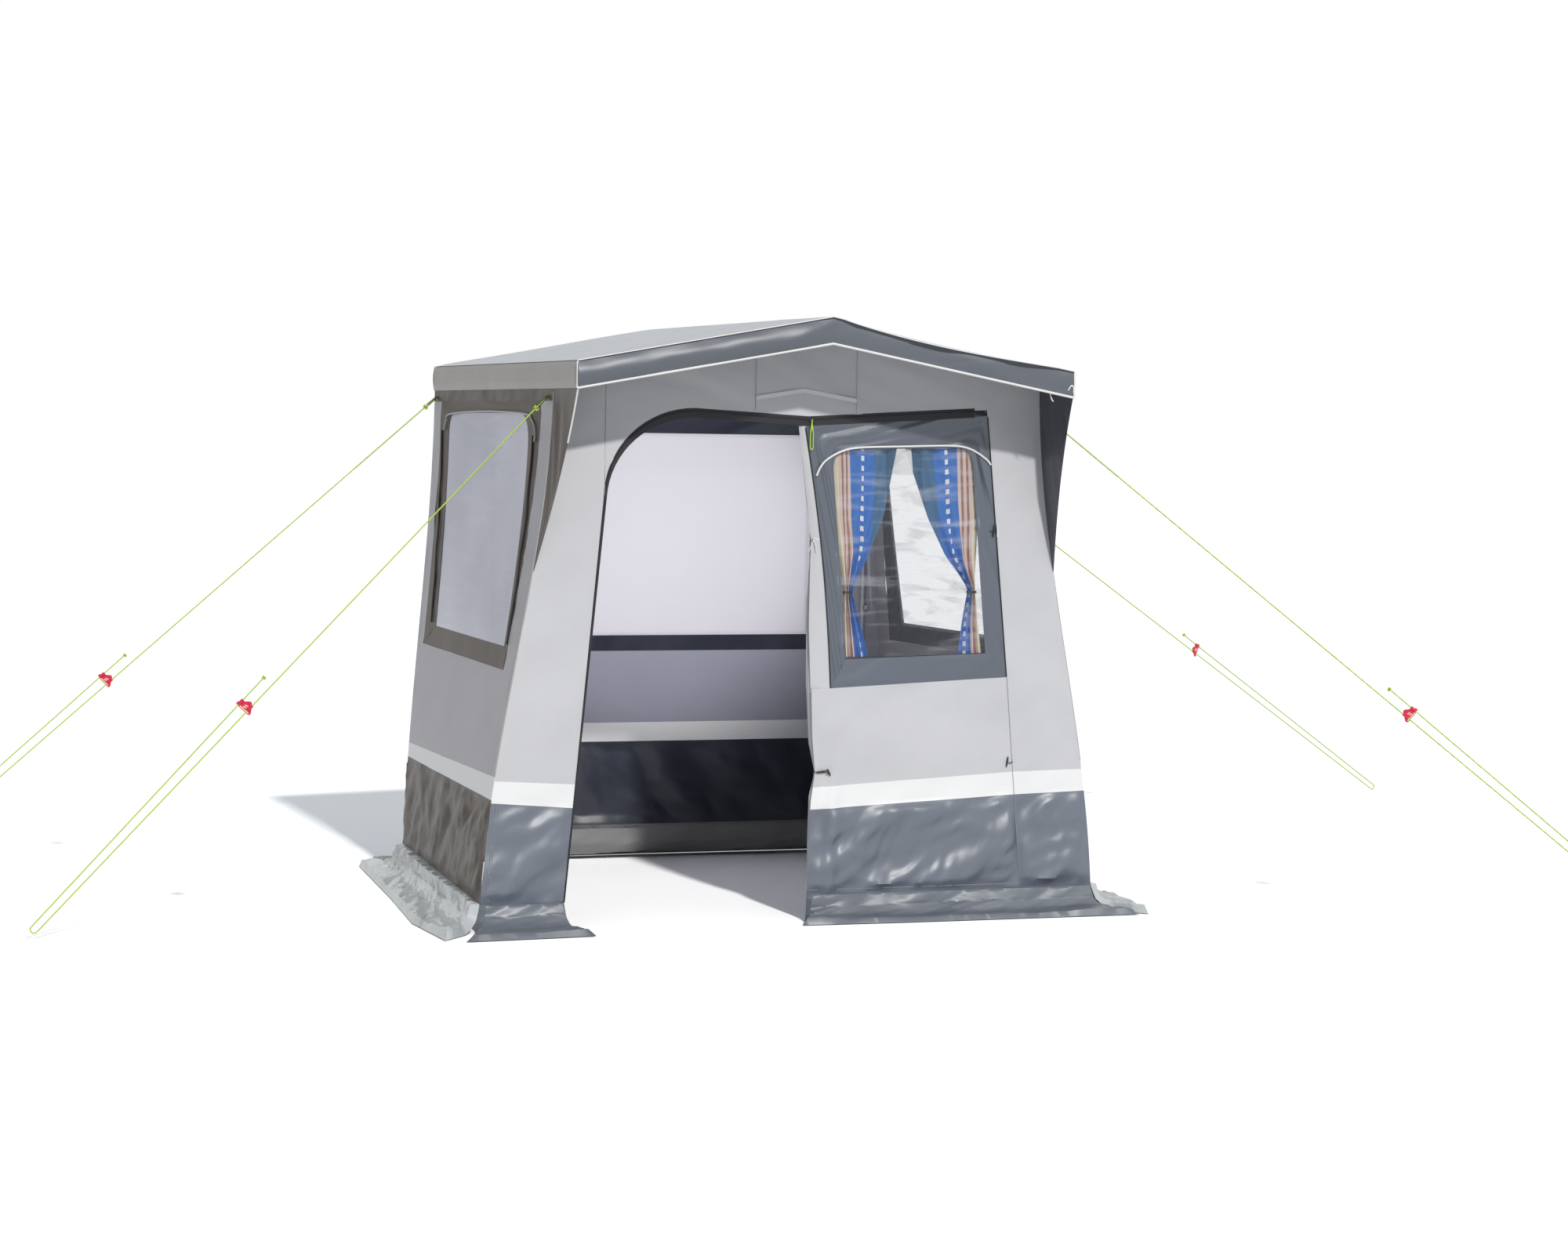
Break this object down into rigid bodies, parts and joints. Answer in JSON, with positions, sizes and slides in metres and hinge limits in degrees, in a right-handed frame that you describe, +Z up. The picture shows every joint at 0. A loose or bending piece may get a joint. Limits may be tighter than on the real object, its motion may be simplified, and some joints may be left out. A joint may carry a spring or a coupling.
{
  "type": "kitchen tent",
  "caption": "Small upright ridge tent with a rolled-up door, foil windows, mud skirts, telescopic legs and taut guy ropes",
  "frame": {"origin": "centre of the tent's footprint box without the guy ropes, on the ground", "axes": "+X to the right seen from outside in front of the door, +Y from the door to the back wall, +Z up"},
  "size_m": [6.8422, 3.906, 2.025],
  "materials": {
    "roof_cloth": "coated canvas, pale grey",
    "wall_cloth": "woven canvas, light grey",
    "valance_cloth": "coated canvas, dark grey with white piping",
    "brown_pvc": "coated cloth, dark brown, soft sheen",
    "dark_pvc": "coated cloth, blue-grey, soft sheen",
    "clear_foil": "clear film, slightly milky",
    "zinc_steel": "zinc plated tube",
    "black_plastic": "moulded, matt",
    "black_webbing": "woven tape",
    "curtain_cloth": "printed thin cloth",
    "rope_cord": "braided cord, yellow-green",
    "puller_cord": "cord loop, light green",
    "red_anodised": "anodised red"
  },
  "bodies": {
    "tent": {"roof_left": "roof_cloth", "roof_right": "roof_cloth", "left_wall": "wall_cloth", "right_wall": "wall_cloth", "back_wall": "wall_cloth", "front_wall_left": "wall_cloth", "front_wall_header": "wall_cloth", "front_wall_right": "wall_cloth", "door_roll": "wall_cloth", "roof_valance": "valance_cloth", "storm_wing_left": "brown_pvc", "storm_wing_right": "brown_pvc", "front_window_frame": "dark_pvc", "skirt_left": "dark_pvc", "skirt_right": "dark_pvc", "skirt_back": "dark_pvc", "skirt_front_left": "dark_pvc", "skirt_front_right": "dark_pvc", "front_window_foil": "clear_foil", "left_window": "clear_foil", "right_window": "clear_foil", "back_window": "clear_foil", "leg_upper_front_left": "zinc_steel", "leg_upper_front_right": "zinc_steel", "leg_upper_back_left": "zinc_steel", "leg_upper_back_right": "zinc_steel", "rafter_front_left": "zinc_steel", "rafter_front_right": "zinc_steel", "rafter_back_left": "zinc_steel", "rafter_back_right": "zinc_steel", "eave_pole_left": "zinc_steel", "eave_pole_right": "zinc_steel", "ridge_pole": "zinc_steel", "corner_fitting_front_left": "black_plastic", "corner_fitting_front_right": "black_plastic", "corner_fitting_back_left": "black_plastic", "corner_fitting_back_right": "black_plastic", "ridge_fitting_front": "black_plastic", "ridge_fitting_back": "black_plastic", "door_zip": "black_webbing", "curtain_left": "curtain_cloth", "curtain_right": "curtain_cloth", "guy_rope_front_left": "rope_cord", "guy_rope_front_right": "rope_cord", "guy_rope_back_left": "rope_cord", "guy_rope_back_right": "rope_cord"},
    "lower_leg_front_left": {"leg_lower_front_left": "zinc_steel", "leg_foot_front_left": "black_plastic"},
    "lower_leg_front_right": {"leg_lower_front_right": "zinc_steel", "leg_foot_front_right": "black_plastic"},
    "lower_leg_back_left": {"leg_lower_back_left": "zinc_steel", "leg_foot_back_left": "black_plastic"},
    "lower_leg_back_right": {"leg_lower_back_right": "zinc_steel", "leg_foot_back_right": "black_plastic"},
    "rope_tensioner_front_left": {"tensioner_front_left": "red_anodised"},
    "rope_tensioner_front_right": {"tensioner_front_right": "red_anodised"},
    "rope_tensioner_back_left": {"tensioner_back_left": "red_anodised"},
    "rope_tensioner_back_right": {"tensioner_back_right": "red_anodised"},
    "slider": {"zip_slider": "black_plastic"},
    "puller": {"zip_puller": "puller_cord"}
  },
  "joints": [
    {"name": "leg_front_left_slide", "type": "slide", "parent": "tent", "child": "lower_leg_front_left", "axis": [0, 0, 1], "range_m": [0, 0.5]},
    {"name": "leg_front_right_slide", "type": "slide", "parent": "tent", "child": "lower_leg_front_right", "axis": [0, 0, 1], "range_m": [0, 0.5]},
    {"name": "leg_back_left_slide", "type": "slide", "parent": "tent", "child": "lower_leg_back_left", "axis": [0, 0, 1], "range_m": [0, 0.5]},
    {"name": "leg_back_right_slide", "type": "slide", "parent": "tent", "child": "lower_leg_back_right", "axis": [0, 0, 1], "range_m": [0, 0.5]},
    {"name": "tensioner_front_left_slide", "type": "slide", "parent": "tent", "child": "rope_tensioner_front_left", "axis": [-0.6839, 0.0525, -0.7277], "range_m": [-0.08, 0.08]},
    {"name": "tensioner_front_right_slide", "type": "slide", "parent": "tent", "child": "rope_tensioner_front_right", "axis": [0.7152, -0.3098, -0.6265], "range_m": [-0.08, 0.08]},
    {"name": "tensioner_back_left_slide", "type": "slide", "parent": "tent", "child": "rope_tensioner_back_left", "axis": [-0.7435, 0.0745, -0.6646], "range_m": [-0.08, 0.08]},
    {"name": "tensioner_back_right_slide", "type": "slide", "parent": "tent", "child": "rope_tensioner_back_right", "axis": [0.8042, 0.3951, -0.4441], "range_m": [-0.08, 0.08]},
    {"name": "zip_slide", "type": "slide", "parent": "tent", "child": "slider", "axis": [0.9981, 0, 0.0616], "range_m": [0, 0.58]},
    {"name": "puller_swing", "type": "hinge", "parent": "slider", "child": "puller", "pos_m": [0.02829, -0.76835, 1.6865], "axis": [-0.9981, 0, -0.0616], "range_deg": [0, 120]}
  ]
}
